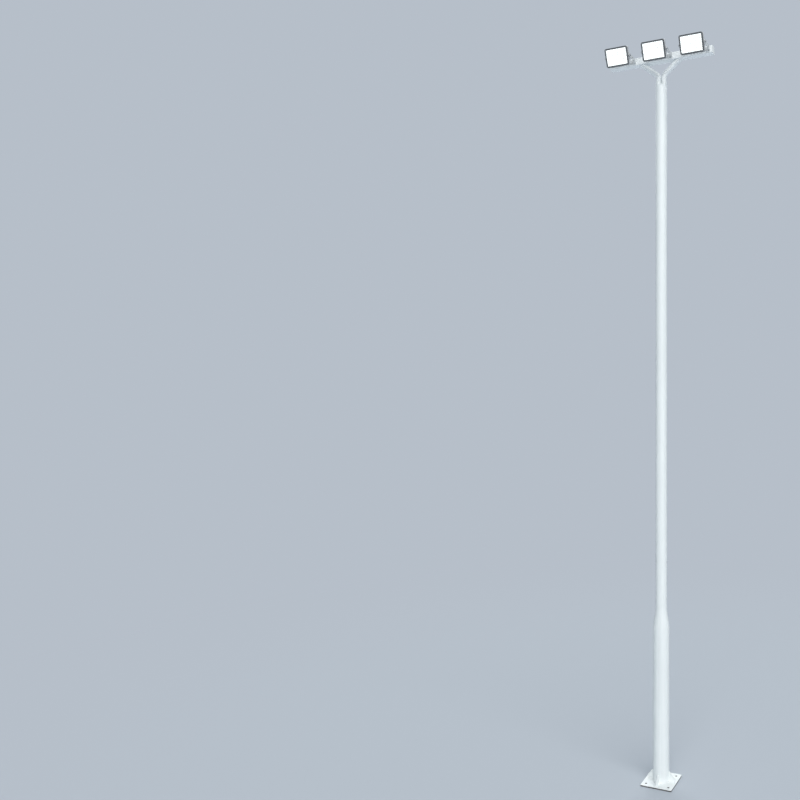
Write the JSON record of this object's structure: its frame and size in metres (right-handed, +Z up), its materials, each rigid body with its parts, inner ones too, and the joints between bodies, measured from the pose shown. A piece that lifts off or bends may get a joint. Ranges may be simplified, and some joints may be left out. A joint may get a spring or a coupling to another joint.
{
  "type": "court floodlight mast",
  "caption": "White two-stage tubular floodlight mast on a ribbed base plate, with a Y fork, a square crossarm and rectangular LED floodlights that tilt in stirrups.",
  "frame": {"origin": "centre of the base plate's underside, on the mast's axis", "axes": "+Z up the mast; +X along the crossarm, to the right seen from the front; -Y to the front, where the floodlights face"},
  "size_m": [1.2, 0.4649, 8.0886],
  "materials": {
    "white_paint": "gloss",
    "cap_plastic": "satin",
    "stirrup_steel": "satin",
    "lamp_casting": "matte",
    "lamp_frame": "satin",
    "lamp_glass": "gloss",
    "led_board": "matte",
    "reflector": "polished",
    "gland_plastic": "matte",
    "bolt_steel": "satin"
  },
  "bodies": {
    "mast": {"base_plate": "white_paint", "base_rib_right": "white_paint", "base_rib_back": "white_paint", "base_rib_left": "white_paint", "base_rib_front": "white_paint", "lower_tube": "white_paint", "access_door": "white_paint", "door_backing_frame": "white_paint", "reducer_cone": "white_paint", "upper_tube": "white_paint", "pole_top_plate": "white_paint", "fork_arm_left": "white_paint", "fork_arm_right": "white_paint", "crossarm": "white_paint", "crossarm_end_cap_left": "cap_plastic", "crossarm_end_cap_right": "cap_plastic", "lamp_left_stirrup": "stirrup_steel", "lamp_middle_stirrup": "stirrup_steel", "lamp_right_stirrup": "stirrup_steel"},
    "lamp_left": {"lamp_left_housing": "lamp_casting", "lamp_left_front_frame": "lamp_frame", "lamp_left_glass": "lamp_glass", "lamp_left_led_board": "led_board", "lamp_left_reflector": "reflector", "lamp_left_driver_box": "lamp_casting", "lamp_left_cable_gland": "gland_plastic", "lamp_left_pivot_bolts": "bolt_steel"},
    "lamp_middle": {"lamp_middle_housing": "lamp_casting", "lamp_middle_front_frame": "lamp_frame", "lamp_middle_glass": "lamp_glass", "lamp_middle_led_board": "led_board", "lamp_middle_reflector": "reflector", "lamp_middle_driver_box": "lamp_casting", "lamp_middle_cable_gland": "gland_plastic", "lamp_middle_pivot_bolts": "bolt_steel"},
    "lamp_right": {"lamp_right_housing": "lamp_casting", "lamp_right_front_frame": "lamp_frame", "lamp_right_glass": "lamp_glass", "lamp_right_led_board": "led_board", "lamp_right_reflector": "reflector", "lamp_right_driver_box": "lamp_casting", "lamp_right_cable_gland": "gland_plastic", "lamp_right_pivot_bolts": "bolt_steel"}
  },
  "joints": [
    {"name": "lamp_left_tilt", "type": "hinge", "parent": "mast", "child": "lamp_left", "pos_m": [-0.43, -0.215, 7.995], "axis": [1, 0, 0], "range_deg": [-53, 67]},
    {"name": "lamp_middle_tilt", "type": "hinge", "parent": "mast", "child": "lamp_middle", "pos_m": [0, -0.215, 7.995], "axis": [1, 0, 0], "range_deg": [-53, 67]},
    {"name": "lamp_right_tilt", "type": "hinge", "parent": "mast", "child": "lamp_right", "pos_m": [0.43, -0.215, 7.995], "axis": [1, 0, 0], "range_deg": [-53, 67]}
  ]
}
